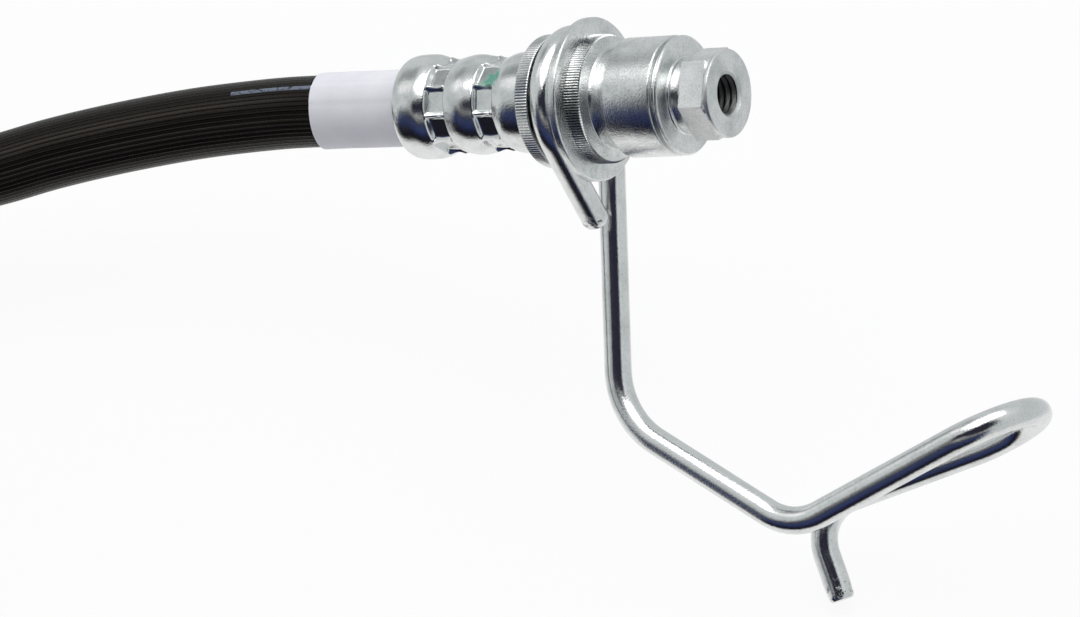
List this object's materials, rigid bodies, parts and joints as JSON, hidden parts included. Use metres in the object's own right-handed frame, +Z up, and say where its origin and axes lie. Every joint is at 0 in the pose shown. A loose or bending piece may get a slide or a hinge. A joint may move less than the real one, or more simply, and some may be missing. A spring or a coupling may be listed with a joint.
{
  "type": "brake line",
  "caption": "Flexible brake hose with a crimped, threaded port fitting held in a bent spring wire bracket, a paper label band and a banjo far end.",
  "frame": {"origin": "middle of the bottom of the box round the port fitting, its ferrule and the wire bracket", "axes": "+Z up, +X to the right of the picture along the bracket end, +Y away from the viewer"},
  "size_m": [0.2768, 0.1755, 0.0673],
  "materials": {
    "port_fitting": "bright zinc plated turned steel",
    "crimp_ferrule": "bright zinc plated crimped steel",
    "wire_bracket": "zinc plated spring wire",
    "hose": "black ribbed rubber cover with a pale lay line",
    "label_band": "plain white paper label",
    "far_ferrule": "bright zinc plated crimped steel",
    "banjo_fitting": "bright zinc plated steel",
    "hose_tie": "white nylon strap"
  },
  "bodies": {
    "root": {"port_fitting": "port_fitting", "crimp_ferrule": "crimp_ferrule", "wire_bracket": "wire_bracket", "hose": "hose", "label_band": "label_band", "far_ferrule": "far_ferrule", "banjo_fitting": "banjo_fitting", "hose_tie": "hose_tie"}
  },
  "joints": []
}
